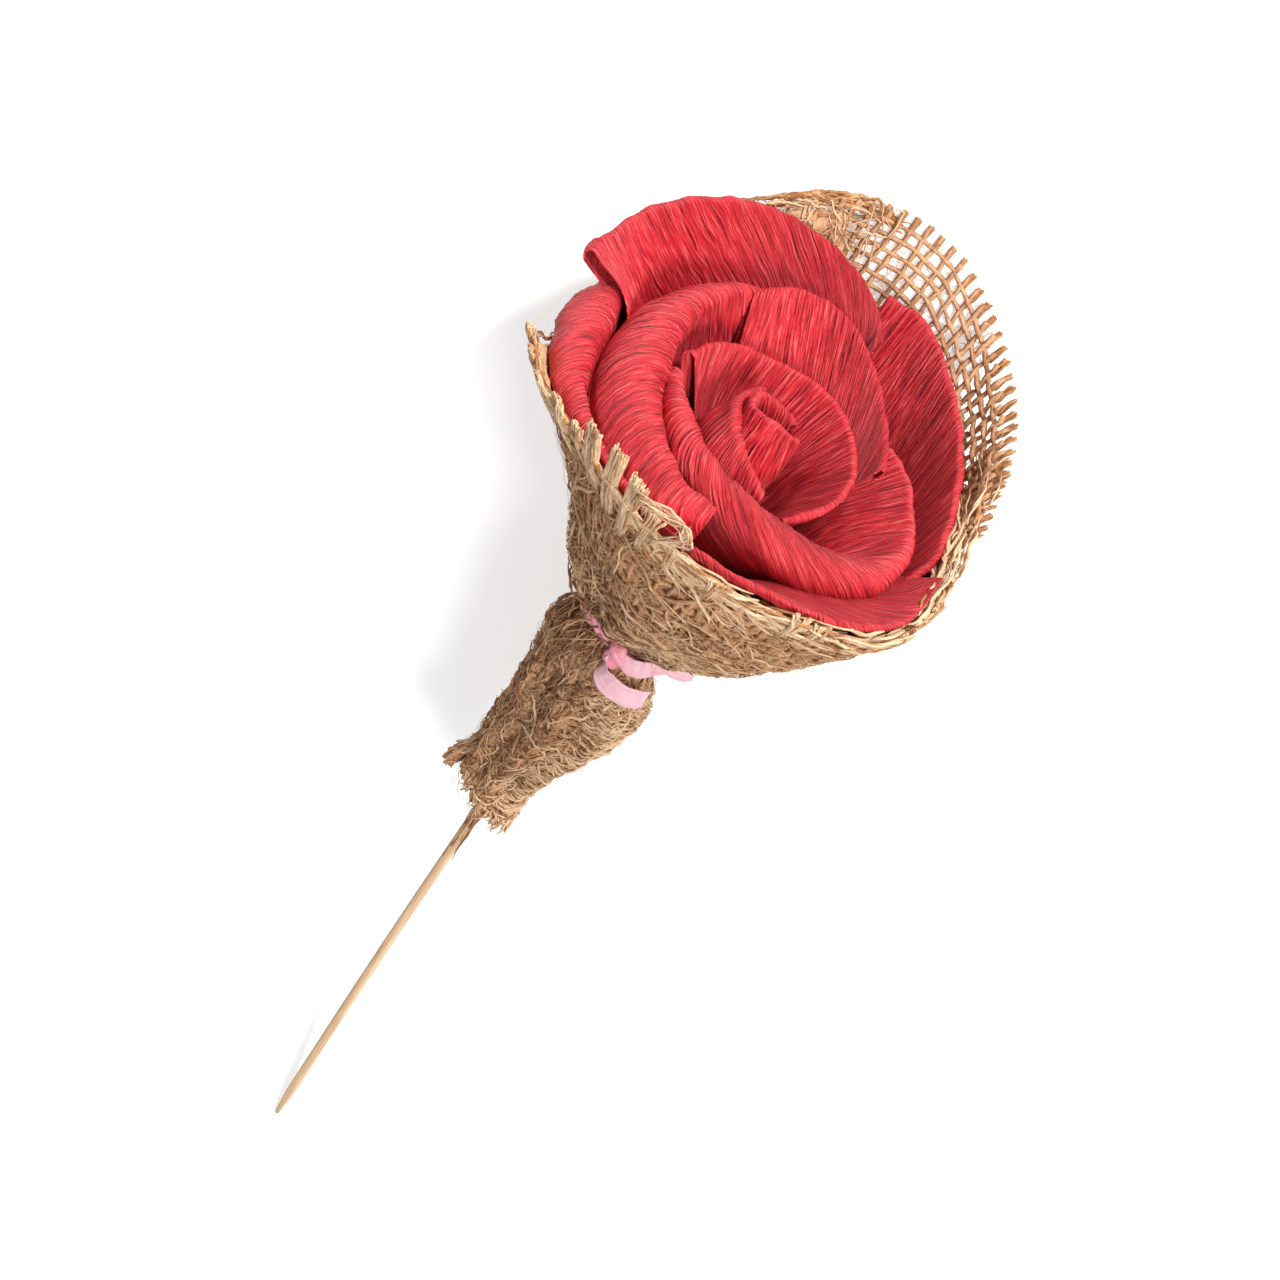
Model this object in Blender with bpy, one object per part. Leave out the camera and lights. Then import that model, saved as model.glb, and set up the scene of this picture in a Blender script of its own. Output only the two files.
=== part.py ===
"""Crepe paper rose in a burlap wrap, lying on its side.

Sizes are millimetres in the rose's own frame (u up and toward the reader, v to the side, w along the
stick out of the face, origin at the tie) and become metres in the lying frame at the end of each piece.
"""
import bpy
import bmesh
import math
import numpy as np
from mathutils import Vector

for old in list(bpy.data.objects):
    bpy.data.objects.remove(old, do_unlink=True)

MM = 0.001
BLOOM_DIAMETER = 100.0
SKEWER_LENGTH = 250.0
SKEWER_DIAMETER = 2.5
CLOTH = 1.4
WEAVE_PITCH = 3.1
YARN = 1.3
RIBBON_WIDTH = 6.0
RIBBON_THICK = 0.7
PETAL_EDGE = 1.3
FIT = 0.35

K = BLOOM_DIAMETER / 100.0
SKEWER_DEPTH = 43.0 * K
TIP_RADIUS = 0.24 * SKEWER_DIAMETER
RIDGE = 0.18 * CLOTH
BORE = SKEWER_DIAMETER / 2 + FIT

# The rose lies on the far side of the wrap and on the tip of the stick.
REST_R, REST_H = 56.0 * K, 88.0 * K
TILT = math.atan2(REST_R - TIP_RADIUS, SKEWER_LENGTH - SKEWER_DEPTH + REST_H)
U = Vector((-math.sin(TILT), 0, math.cos(TILT)))
V = Vector((0, -1, 0))
W = Vector((math.cos(TILT), 0, math.sin(TILT)))
NECK = U * REST_R - W * REST_H


def place(u, v, h, floor=0.0):
    """A point of the rose's own frame in the lying frame, in metres, held above the floor."""
    p = NECK + U * u + V * v + W * h
    p.z = max(p.z, floor)
    return p * MM


def world(r, turn, h, side=0.0):
    """The same by radius and by turn in degrees from the near side, about a centre moved sideways."""
    a = math.radians(turn)
    return place(r * math.cos(a), side + r * math.sin(a), h)


def smooth(x):
    x = min(max(x, 0.0), 1.0)
    return x * x * (3 - 2 * x)


def table(rows, x, period=None):
    xs = [row[0] for row in rows]
    return [float(np.interp(x, xs, [row[i] for row in rows], period=period)) for i in range(1, len(rows[0]))]


def spline(rows, count):
    """Catmull-Rom through rows of numbers."""
    rows = np.array(rows, float)
    ends = np.vstack([2 * rows[0] - rows[1], rows, 2 * rows[-1] - rows[-2]])
    out = []
    for s in np.linspace(0, len(rows) - 1, count):
        i = min(int(s), len(rows) - 2)
        t = s - i
        a, b, c, d = ends[i:i + 4]
        out.append(0.5 * (2 * b + (c - a) * t + (2 * a - 5 * b + 4 * c - d) * t * t
                          + (3 * b - a - 3 * c + d) * t ** 3))
    return np.array(out)


# The wrap's middle surface by height above the tie: radius and sideways shift, then where its rim lies.
WRAP = [(-74, 2.5, -0.3), (-69, 3.2, -0.8), (-65, 6.2, -2.2), (-61, 9.0, -3.3), (-55, 8.7, -3.2), (-46, 8.6, -1.9),
        (-38, 10.0, -0.7), (-28, 12.1, 1.1), (-19, 13.6, 1.2), (-12, 13.8, 0.5), (-7, 13.2, -0.1), (-3, 10.4, 0),
        (0, 9.8, 0), (3, 10.6, 0), (8, 15.6, 0.2), (13, 19.0, 0.8), (19, 23.4, 2.0), (28, 29.6, 2.6), (36, 35.0, 1.8),
        (43, 39.6, 0.8), (52, 45.0, 0), (65, 50.5, 0), (80, 56, 0), (95, 60, 0), (110, 63, 0)]
RIM = [(0, 46, 64), (25, 48, 64.5), (37, 50.5, 66), (50, 54.5, 68), (62, 53.5, 70.3), (74, 50, 72), (87, 47.5, 73.6),
       (95, 46.3, 75), (107, 47.3, 78.5), (116, 48.7, 81.5), (133, 52.5, 86.5), (146, 56, 89.5), (160, 59.5, 94.5),
       (171, 59, 100), (180, 58.5, 101), (188, 58, 100), (200, 57.8, 95), (213, 56.5, 88), (225, 56, 81.5),
       (237, 54, 75), (250, 50.5, 66), (262, 48.5, 61.5), (274, 48.5, 61), (287, 50.5, 63.5), (299, 56, 71.5),
       (311, 53.5, 68.3), (324, 48.5, 66), (336, 47, 65), (348, 46, 64)]


def lean(h, turn):
    """The tie runs round the neck aslant: how far it lifts the cloth at a height and turn."""
    a = math.radians(turn)
    return K * (3.6 + 5.0 * math.cos(a) - 2.3 * math.sin(a)) * (1 - smooth((abs(h / K - 3) - 6) / 36))


def hollow(h, turn):
    """How far the cloth falls in on the left below the rim."""
    return 6.4 * smooth(1.2 - abs((turn - 312 + 180) % 360 - 180) / 45) * smooth((h - 26) / 14) * smooth((70 - h) / 16)


def wrap_radius(h, turn):
    """Radius and sideways shift of the wrap's middle surface at a height and turn."""
    r, side = table(WRAP, (h - lean(h, turn)) / K)
    rim_r, rim_h = table(RIM, turn % 360, 360)
    at_rim = table(WRAP, rim_h)[0]
    r *= 1 + (rim_r / at_rim - 1) * smooth((h / K - 38) / (rim_h - 38))
    return K * (r - hollow(h / K, turn)), K * side


def gather(h):
    """How deep the pleats are at a height."""
    h = h / K
    return K * (1.5 * smooth((h - 6) / 10) * smooth((44 - h) / 26)
                + 1.2 * smooth((-2 - h) / 9) * smooth((h + 64) / 22))


def finish_mesh(name, mesh_bm, colour, roughness):
    bmesh.ops.recalc_face_normals(mesh_bm, faces=mesh_bm.faces)
    mesh = bpy.data.meshes.new(name)
    mesh_bm.to_mesh(mesh)
    mesh_bm.free()
    obj = bpy.data.objects.new(name, mesh)
    bpy.context.scene.collection.objects.link(obj)
    material = bpy.data.materials.new(name)
    material.use_nodes = True
    shader = material.node_tree.nodes["Principled BSDF"]
    shader.inputs["Base Color"].default_value = (*colour, 1)
    shader.inputs["Roughness"].default_value = roughness
    mesh.materials.append(material)
    return obj


def union(target, other):
    modifier = target.modifiers.new("join", "BOOLEAN")
    modifier.operation = "UNION"
    modifier.solver = "EXACT"
    modifier.object = other
    depsgraph = bpy.context.evaluated_depsgraph_get()
    mesh = bpy.data.meshes.new_from_object(target.evaluated_get(depsgraph))
    clean = bmesh.new()
    clean.from_mesh(mesh)
    bmesh.ops.remove_doubles(clean, verts=clean.verts, dist=0.008 * MM)
    bmesh.ops.dissolve_degenerate(clean, edges=clean.edges, dist=0.004 * MM)
    bmesh.ops.triangulate(clean, faces=clean.faces)
    clean.to_mesh(mesh)
    clean.free()
    target.modifiers.clear()
    target.data = mesh
    bpy.data.objects.remove(other, do_unlink=True)


def fill_pockets(obj):
    """Pockets sealed between petals become solid: only the outer skin is kept."""
    mesh_bm = bmesh.new()
    mesh_bm.from_mesh(obj.data)
    left, shells = set(mesh_bm.verts), []
    while left:
        shell, edge = set(), [left.pop()]
        while edge:
            vert = edge.pop()
            shell.add(vert)
            near = {e.other_vert(vert) for e in vert.link_edges} & left
            left -= near
            edge += near
        shells.append(shell)
    shells.sort(key=len)
    for shell in shells[:-1]:
        bmesh.ops.delete(mesh_bm, geom=list(shell), context="VERTS")
    mesh_bm.to_mesh(obj.data)
    mesh_bm.free()


def loft(rings, closed=False):
    """A closed solid through rings of points; a closed loft joins its last ring to its first."""
    mesh_bm = bmesh.new()
    made = [[mesh_bm.verts.new(p) for p in ring] for ring in rings]
    pairs = list(zip(made, made[1:])) + ([(made[-1], made[0])] if closed else [])
    for a, b in pairs:
        for i in range(len(a)):
            j = (i + 1) % len(a)
            mesh_bm.faces.new((a[i], a[j], b[j], b[i]))
    if not closed:
        mesh_bm.faces.new(made[0][::-1])
        mesh_bm.faces.new(made[-1])
    return mesh_bm


def stick(h):
    """The stick's sideways place at a height: it leans a little and passes the tie off centre."""
    return K * -4.0 - 0.0489 * h


# Skewer: a plain round stick with a short blunt taper at the free end.
SIDES = 14
TIP_H = SKEWER_DEPTH - SKEWER_LENGTH
skewer_rings = [[world(r, 180 + 360 * i / SIDES, h, stick(h)) for i in range(SIDES)]
                for h, r in ((TIP_H, TIP_RADIUS), (TIP_H + 11, SKEWER_DIAMETER / 2), (-20 * K, SKEWER_DIAMETER / 2),
                             (SKEWER_DEPTH, SKEWER_DIAMETER / 2))]
finish_mesh("bamboo_skewer", loft(skewer_rings), (0.58, 0.38, 0.21), 0.5)


# Burlap wrap: a pleated sheet round the bloom with an open weave at the far rim.
OPEN_FROM, OPEN_COLUMNS, OPEN_ROWS, PLEATS = 99.0, 20, 6, 6
open_step = math.degrees(WEAVE_PITCH / (55.0 * K))
columns = [OPEN_FROM + open_step * i for i in range(OPEN_COLUMNS)]
rest = 4 * PLEATS
start = OPEN_FROM + open_step * OPEN_COLUMNS
columns += [start + (OPEN_FROM + 360 - start) * i / rest for i in range(rest)]
levels = [K * h for h in (-74, -69, -65, -61, -54, -46, -37, -28, -19, -11, -6, -2.2, 0, 2.4, 7, 13, 20, 28, 36)]
wrap_bm = bmesh.new()
grid = []
for i, turn in enumerate(columns):
    rim_h = K * table(RIM, turn % 360, 360)[1]
    low = rim_h - OPEN_ROWS * WEAVE_PITCH
    heights = levels + [levels[-1] + (low - levels[-1]) * k / 3 for k in (1, 2, 3)]
    heights += [low + WEAVE_PITCH * k for k in range(1, OPEN_ROWS + 1)]
    fold = math.cos(math.radians(360 * (i - OPEN_COLUMNS) / 4)) if i >= OPEN_COLUMNS else \
        math.cos(math.radians(360 * i / 10))
    line = []
    for j, h in enumerate(heights):
        tied = j and not -3 * K < h < 3 * K
        if j < len(levels):
            h += lean(h, turn)
        r, side = wrap_radius(h, turn)
        r += gather(h) * fold + (RIDGE * (1 if (i + j) % 2 else -1) if tied else 0)
        a = math.radians(turn)
        line.append(wrap_bm.verts.new(place(r * math.cos(a), side + r * math.sin(a), h, CLOTH / 2)))
    grid.append(line)
open_faces = []
for i in range(len(grid)):
    a, b = grid[i], grid[(i + 1) % len(grid)]
    for j in range(len(a) - 1):
        face = wrap_bm.faces.new((a[j], b[j], b[j + 1], a[j + 1]))
        if 1 <= i < OPEN_COLUMNS - 1 and j >= len(a) - 1 - OPEN_ROWS:
            open_faces.append(face)
bmesh.ops.recalc_face_normals(wrap_bm, faces=wrap_bm.faces)
bmesh.ops.inset_individual(wrap_bm, faces=open_faces, thickness=YARN / 2 * MM)
bmesh.ops.delete(wrap_bm, geom=open_faces, context="FACES")
wrap = finish_mesh("burlap_wrap", wrap_bm, (0.43, 0.27, 0.13), 0.95)
thick = wrap.modifiers.new("cloth", "SOLIDIFY")
thick.thickness = CLOTH * MM
thick.offset = 0.0


# Bloom: petals folded from one strip, each a rolled blade, on the strip's gathered foot.
FLOOR, SAG = CLOTH + RIDGE + FIT, 0.6 * K


def inside(r, turn, h, pad=0.0):
    """Keep a radius of the bloom within the wrap, up to its rim, and above the wrap's flat side."""
    room, side = wrap_radius(h, turn)
    past = h / K - table(RIM, turn % 360, 360)[1]
    room += 9 * K * smooth((past - 2.6) / 4) - (CLOTH / 2 + RIDGE + gather(h) + FIT + SAG)
    across, toward = side * math.cos(math.radians(turn)), side * math.sin(math.radians(turn))
    limit = toward + math.sqrt(room * room - across * across)
    down = -U.z * math.cos(math.radians(turn))
    if down > 0.05:
        limit = min(limit, (NECK.z + W.z * h - FLOOR) / down)
    return min(r, limit - pad)


foot = [(-26, 5.2), (-18, 6.4), (-10, 7.0), (-3, 7.4), (4, 7.6), (10, 11), (16, 17), (23, 25), (30, 31), (37, 37),
        (43, 40), (47, 39), (51, 30), (51.7, 16)]
FOOT_SIDES = 24
foot_rings = [[world(BORE, 15 * i, h, stick(h)) for i in range(FOOT_SIDES)] for h in (SKEWER_DEPTH + FIT, foot[0][0] * K)]
for h, r in foot:
    foot_rings.append([world(inside(r * K, 15 * i, h * K), 15 * i, h * K) for i in range(FOOT_SIDES)])
bloom_foot = finish_mesh("crepe_bloom", loft(foot_rings), (0.62, 0.035, 0.055), 0.7)

# Each station: turn, crest radius, crest height, crest half-thickness, radius and height halfway down, root radius.
PETALS = {
    "outer_top": [(270, 52, 78, 1.5, 40, 70, 34), (252, 53, 82, 1.3, 42, 66, 35), (233, 53.5, 86, 1.3, 45, 62, 36),
                  (214, 53, 88, 1.3, 44, 64, 34), (197, 49, 88, 1.3, 41, 66, 32), (182, 44, 86, 1.3, 37, 66, 28),
                  (170, 38, 82, 1.5, 33, 62, 26)],
    "outer_right": [(178, 49, 86, 1.3, 44, 62, 36), (165, 48.5, 87, 1.3, 43, 62, 36), (148, 45.5, 84, 1.3, 42, 60, 35),
                    (128, 43, 80, 1.3, 39, 58, 34), (108, 42, 76, 1.3, 37, 57, 33), (90, 43.5, 74, 1.4, 38, 56, 33),
                    (72, 44, 70, 1.5, 38, 55, 33)],
    "outer_base": [(80, 47.5, 72, 1.4, 34, 57, 28), (66, 49, 70, 1.3, 33, 57, 28), (50, 49.5, 68, 1.3, 31, 56, 28),
                   (34, 46, 66.5, 1.3, 31, 55, 28), (16, 43, 66, 1.3, 33, 54, 28), (-2, 42, 65, 1.3, 34, 53, 28),
                   (-16, 41, 64, 1.3, 34, 52, 28)],
    "outer_left": [(264, 45, 73, 2.4, 40, 59, 32), (275, 45, 73.5, 5.0, 40, 59, 32), (287, 45.5, 72.5, 5.0, 40.5, 59, 32),
                   (298, 46, 71, 4.4, 41, 57, 32), (311, 46, 68, 3.0, 40, 55, 32), (326, 44, 65.5, 2.6, 38, 54, 31),
                   (340, 42, 64, 2.0, 37, 52, 30)],
    "second_left": [(208, 36, 79, 1.4, 31, 62, 22), (225, 35.5, 78.5, 1.8, 31, 62, 22), (243, 34, 77, 3.6, 31, 60, 22),
                    (262, 32.5, 75, 6.0, 31, 58, 23), (285, 31.5, 72.5, 7.6, 31, 57, 23),
                    (307, 31.5, 70, 8.0, 31, 56, 23), (328, 32, 68.5, 7.6, 31, 55, 23), (347, 33, 67.5, 6.2, 31, 54, 23),
                    (362, 30, 66, 3.0, 29, 53, 22)],
    "second_right": [(219, 34.4, 78.2, 1.4, 25.5, 63.5, 16.4), (204, 37.5, 81, 1.3, 27, 64, 18), (188, 37.5, 82, 1.3, 28, 64, 19),
                     (172, 34, 80.5, 1.3, 27, 64, 19), (153, 30, 77.5, 1.3, 25, 62, 18), (134, 27.5, 75, 1.3, 23, 60, 17),
                     (116, 26, 72, 1.4, 22, 58, 16)],
    "fan": [(128, 28, 74, 1.3, 22, 60, 17), (113, 31, 74, 1.3, 22, 59, 17), (97, 34, 72.5, 1.5, 23, 58, 18),
            (80, 38, 70.5, 2.0, 26, 57, 18), (63, 36.5, 69.5, 4.4, 27, 56, 19), (46, 31, 68.5, 5.4, 25, 56, 18),
            (26, 25.5, 68, 5.2, 22, 55, 17), (4, 22, 68, 4.6, 20, 54, 16), (-20, 20.5, 68, 4.0, 19, 54, 15),
            (-42, 20.5, 69, 3.4, 19, 54, 15), (-64, 21.5, 69.5, 2.6, 19, 54, 15), (-84, 23.5, 70, 1.6, 19, 55, 14)],
    "inner_cup": [(262, 23.5, 71, 1.5, 17, 60, 9), (246, 23, 72.5, 1.3, 18, 60, 10), (228, 22, 73, 1.3, 18, 60, 11),
                  (207, 20.5, 73, 1.3, 17, 60, 11), (178, 20.5, 73.5, 1.3, 16, 60, 11), (150, 20.5, 73, 1.3, 16, 60, 11),
                  (126, 20, 71, 1.4, 15, 59, 11), (98, 18.5, 69.5, 1.6, 14, 58, 10), (70, 18, 68, 2.0, 14, 57, 10),
                  (44, 17.5, 67, 2.2, 14, 56, 10)],
    "bud_left": [(218, 12, 69, 1.6, 9.6, 58, 5.2), (250, 11.5, 69, 2.8, 9.6, 58, 5.2), (284, 11.5, 69, 3.6, 9.6, 57, 5.2),
                 (318, 12, 68.5, 3.6, 9.6, 57, 5.2), (352, 12.5, 68, 2.8, 9.6, 57, 5.4), (378, 13.5, 67, 1.8, 10.6, 57, 6)],
    "bud": [(150, 7.5, 68.5, 1.2, 5.0, 57, 2.6), (180, 8.0, 69, 1.2, 5.2, 57, 2.6), (214, 8.8, 69.5, 1.2, 5.3, 57, 2.6),
            (250, 6.9, 69, 1.3, 4.6, 57, 2.6), (290, 6, 68.5, 1.8, 5, 58, 3), (330, 6.5, 68, 2.2, 5, 58, 3),
            (368, 7.5, 68, 2.2, 6, 58, 3), (400, 7, 68, 1.8, 5.5, 58, 3), (440, 5.5, 67, 1.4, 4.5, 57, 3)],
}


def petal_rings(stations):
    count = max(8, int(abs(stations[-1][0] - stations[0][0]) / 9))
    rings = []
    for turn, r, h, roll, mid_r, mid_h, root in spline(stations, count):
        line = spline([(root * K, 46 * K), (mid_r * K, mid_h * K), (r * K, (h - roll) * K)], 6)
        wide = np.interp(np.linspace(0, 1, 6), [0, 0.5, 1], [1.4, 0.6 * roll + 0.7, roll]) * K * PETAL_EDGE / 1.3
        for k in range(6):
            line[k][0] = inside(line[k][0], turn, line[k][1], wide[k])
        outer, inner = [], []
        for k in range(6):
            along = line[min(k + 1, 5)] - line[max(k - 1, 0)]
            along /= np.hypot(*along)
            side = np.array([along[1], -along[0]]) * wide[k]
            outer.append(line[k] + side)
            inner.append(line[k] - side)
        top = line[5]
        cap = [top + side * math.cos(a) + along * wide[5] * math.sin(a) for a in np.radians((45, 90, 135))]
        for p in outer + cap:
            p[0] = inside(p[0], turn, p[1])
        ring = outer + cap + inner[::-1]
        rings.append([world(p[0], turn, p[1]) for p in ring])
    return rings


for name, stations in PETALS.items():
    union(bloom_foot, finish_mesh(name, loft(petal_rings(stations)), (0.62, 0.035, 0.055), 0.7))
fill_pockets(bloom_foot)
paper = bpy.data.materials["crepe_bloom"]
bloom_foot.data.materials.clear()
bloom_foot.data.materials.append(paper)


# Ribbon: a band bunched round the neck, a knot and two free ends, all one satin ribbon.
def over(level, turn, lift):
    """Radius, turn, height and sideways shift of a point that far outside the wrap's pleats."""
    h = level * K + lean(level * K, turn)
    r, side = wrap_radius(h, turn)
    return r + CLOTH / 2 + RIDGE + gather(h) + FIT + lift, turn, h, side


BAND_SIDES = 28
band = []
for i in range(BAND_SIDES):
    turn = 360 * i / BAND_SIDES
    ring = []
    for level, lift in ((-0.24, 0.3), (-0.14, 0), (0.14, 0), (0.24, 0.3), (0.24, 1.2), (0.14, 1.7), (-0.14, 1.7), (-0.24, 1.2)):
        ring.append(world(*over(level * RIBBON_WIDTH, turn, lift * RIBBON_THICK)))
    band.append(ring)
ribbon = finish_mesh("ribbon_tie", loft(band, closed=True), (0.72, 0.36, 0.40), 0.35)


def strip(rows, thick_mm):
    """A flat ribbon end: rows of (level above the tie, turn, lift off the wrap, half-width, twist in degrees)."""
    rings = []
    path = spline(rows, 4 * len(rows))
    points = [np.array(world(*over(level, turn, lift))) / MM for level, turn, lift, _, _ in path]
    for k, (level, turn, lift, half, twist) in enumerate(path):
        along = Vector(points[min(k + 1, len(points) - 1)] - points[max(k - 1, 0)]).normalized()
        across = (W - along * along.dot(W)).normalized()
        up = across.cross(along).normalized()
        twist = math.radians(twist)
        across, up = across * math.cos(twist) + up * math.sin(twist), up * math.cos(twist) - across * math.sin(twist)
        p = Vector(points[k])
        corner = thick_mm / 2
        rings.append([(p + across * x * half + up * y * corner) * MM
                      for x, y in ((-1, -1), (0, -1), (1, -1), (1, 1), (0, 1), (-1, 1))])
    return loft(rings)


full = RIBBON_WIDTH / 2
tails = {
    "tail_one": [(-1.5, 15, 1.4, 1.8, 0), (-2.2, 8, 2.2, 2.4, 0), (-3.0, 4.5, 3.3, full, 0), (-3.6, 8, 4.4, full, 0),
                 (-4.0, 19, 4.9, full, 0), (-4.0, 34, 5.2, full, 6), (-3.2, 49, 5.8, full, 10), (-2.2, 62, 6.4, 2.4, 12)],
    "tail_two": [(-0.4, 14, 1.4, 1.8, 0), (1.2, 28, 2.9, full, 0), (4.0, 40, 3.6, 2.6, 0), (6.2, 50, 3.7, 1.7, 0),
                 (7.4, 60, 3.9, 2.6, 0)],
}
knot = bmesh.new()
at = world(*over(-0.6, 13, 1.8))
bmesh.ops.create_icosphere(knot, subdivisions=2, radius=MM)
for vert in knot.verts:
    c = vert.co.copy()
    vert.co = at + V * c.x * 2.3 + W * c.y * 3.2 + U * c.z * 1.7
union(ribbon, finish_mesh("knot", knot, (0.72, 0.36, 0.40), 0.35))
for name, rows in tails.items():
    union(ribbon, finish_mesh(name, strip(rows, RIBBON_THICK), (0.72, 0.36, 0.40), 0.35))
satin = bpy.data.materials["ribbon_tie"]
ribbon.data.materials.clear()
ribbon.data.materials.append(satin)

for obj in bpy.data.objects:
    for polygon in obj.data.polygons:
        polygon.use_smooth = False
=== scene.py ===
import math

import bmesh
import bpy
import numpy as np
from mathutils import Matrix, Vector, noise


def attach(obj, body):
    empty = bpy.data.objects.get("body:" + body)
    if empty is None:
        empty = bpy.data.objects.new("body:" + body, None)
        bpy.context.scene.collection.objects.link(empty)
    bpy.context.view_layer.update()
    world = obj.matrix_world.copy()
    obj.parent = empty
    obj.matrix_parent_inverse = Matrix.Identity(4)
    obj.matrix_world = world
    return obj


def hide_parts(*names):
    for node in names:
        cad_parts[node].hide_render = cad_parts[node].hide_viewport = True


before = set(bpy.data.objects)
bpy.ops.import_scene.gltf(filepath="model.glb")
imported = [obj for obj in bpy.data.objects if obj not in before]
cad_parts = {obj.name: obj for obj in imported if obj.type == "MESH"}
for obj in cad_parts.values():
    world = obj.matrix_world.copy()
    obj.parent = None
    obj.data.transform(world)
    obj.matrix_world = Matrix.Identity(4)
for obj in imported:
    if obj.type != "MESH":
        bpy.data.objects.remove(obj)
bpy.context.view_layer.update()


# The rose as a whole: it lies on the far side of its wrap and on the tip of the stick. Everything below is
# placed in the rose's own directions, in millimetres from the tie: U up toward the viewer, V to the side,
# W along the stick out of the face. A turn of 0 is the near side, 90 the right, 180 the side on the table.
# It rests on the wrap at REST_R from the stick and REST_H past the tie, and on the stick's tip.
MM = 0.001
REST_R, REST_H, STICK, IN_BLOOM, TIP_RADIUS = 56.0, 88.0, 250.0, 43.0, 0.6
TILT = math.atan2(REST_R - TIP_RADIUS, STICK - IN_BLOOM + REST_H)
U = Vector((-math.sin(TILT), 0, math.cos(TILT)))
V = Vector((0, -1, 0))
W = Vector((math.cos(TILT), 0, math.sin(TILT)))
TIE = U * REST_R - W * REST_H
AXES = np.array([U, V, W])


def lying(points, floor=0.25):
    """Points (u, v, w) from the tie in the lying frame, in metres, kept off the table."""
    placed = np.asarray(points, float) @ AXES + np.array(TIE)
    placed[..., 2] = np.maximum(placed[..., 2], floor)
    return placed * MM


def smooth(x):
    """0 below 0 and 1 above 1, eased between."""
    x = np.clip(x, 0.0, 1.0)
    return x * x * (3 - 2 * x)


# Camera and studio: a camera above the near side, as in the photograph, a pale floor that keeps the rose's
# shadow, one small lamp low in front of the bloom, a broad one near the camera, and an even pale surround.
# It looks PHI off the stick from DISTANCE mm. The photograph is IMAGE px square, with the tie TIE_X px from
# its left edge, and FOCUS is its focal length in px. The stick and V run aslant across it.
PHI, DISTANCE = math.radians(52), 545.0
IMAGE, TIE_X, FOCUS = 1280, 612, 2400.0
toward = W * math.cos(PHI) + U * math.sin(PHI)
away = W * math.sin(PHI) - U * math.cos(PHI)
across, along = Vector((0.789, 0.615)).normalized(), Vector((0.615, -0.789)).normalized()
right = V * across.x + away * along.x
down = V * across.y + away * along.y
eye = TIE + toward * DISTANCE - right * (TIE_X - IMAGE / 2) / FOCUS * DISTANCE
camera = bpy.data.objects.new("camera", bpy.data.cameras.new("camera"))
bpy.context.scene.collection.objects.link(camera)
camera.data.lens, camera.data.sensor_width = FOCUS / IMAGE * 36, 36
camera.data.clip_start, camera.data.clip_end = 0.01, 20
turned = Matrix((right, -down, toward)).transposed().to_4x4()
turned.translation = eye * MM
camera.matrix_world = turned
bpy.context.scene.camera = camera


class Tone:
    """One socket of a finish. Sums on it add Math nodes, and add() makes any other node."""

    def __init__(self, socket):
        self.socket = socket

    def add(self, kind, settings=None, sockets=None, out=0):
        """A node of that type: its settings first, then the values or links of its sockets."""
        tree = self.socket.id_data
        node = tree.nodes.new(kind)
        for key, value in (settings or {}).items():
            if key == "stops":
                ramp = node.color_ramp.elements
                for at, tint in value[1:-1]:
                    ramp.new(at)
                for element, (at, tint) in zip(ramp, value):
                    element.position, element.color = at, (*tint, 1)
            else:
                setattr(node, key, value)
        for key, value in (sockets or {}).items():
            if isinstance(value, Tone):
                tree.links.new(value.socket, node.inputs[key])
            else:
                node.inputs[key].default_value = value
        return Tone(node.outputs[out])

    def maths(self, operation, a, b=0.0):
        return self.add("ShaderNodeMath", {"operation": operation}, {0: a, 1: b})

    def __add__(self, other):
        return self.maths("ADD", self, other)

    def __mul__(self, other):
        return self.maths("MULTIPLY", self, other)

    def __sub__(self, other):
        return self.maths("SUBTRACT", self, other)

    def __rsub__(self, other):
        return self.maths("SUBTRACT", other, self)

    __radd__, __rmul__ = __add__, __mul__

    def mix(self, a, b):
        """Colour a where this is 0 and colour b where it is 1."""
        return self.add("ShaderNodeMix", {"data_type": "RGBA"}, {0: self, 6: a, 7: b}, out=2)

    def between(self, low, high):
        """0 where this is low and 1 where it is high, smooth between."""
        return self.add("ShaderNodeMapRange", {"interpolation_type": "SMOOTHSTEP"},
                        {0: self, 1: low, 2: high})


def finish(name, **plain):
    """A material with plain values on its shader, and the start of its pattern."""
    material = bpy.data.materials.new(name)
    material.use_nodes = True
    nodes = material.node_tree.nodes
    shader = nodes["Principled BSDF"]
    for key, value in plain.items():
        shader.inputs[key.replace("_", " ")].default_value = value
    return material, shader, Tone(nodes.new("ShaderNodeTexCoord").outputs["Object"])


def wear(shader, **patterns):
    """Patterns onto the shader's sockets."""
    for key, tone in patterns.items():
        shader.id_data.links.new(tone.socket, shader.inputs[key.replace("_", " ")])


def direct(tree):
    """1 for what the camera, a mirror or glass sees of the background, and 0 for the light that it gives."""
    path = tree.nodes.new("ShaderNodeLightPath").outputs
    rays = Tone(path["Is Camera Ray"]) + Tone(path["Is Glossy Ray"]) + Tone(path["Is Transmission Ray"])
    return rays.maths("MINIMUM", rays, 1.0)


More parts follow.
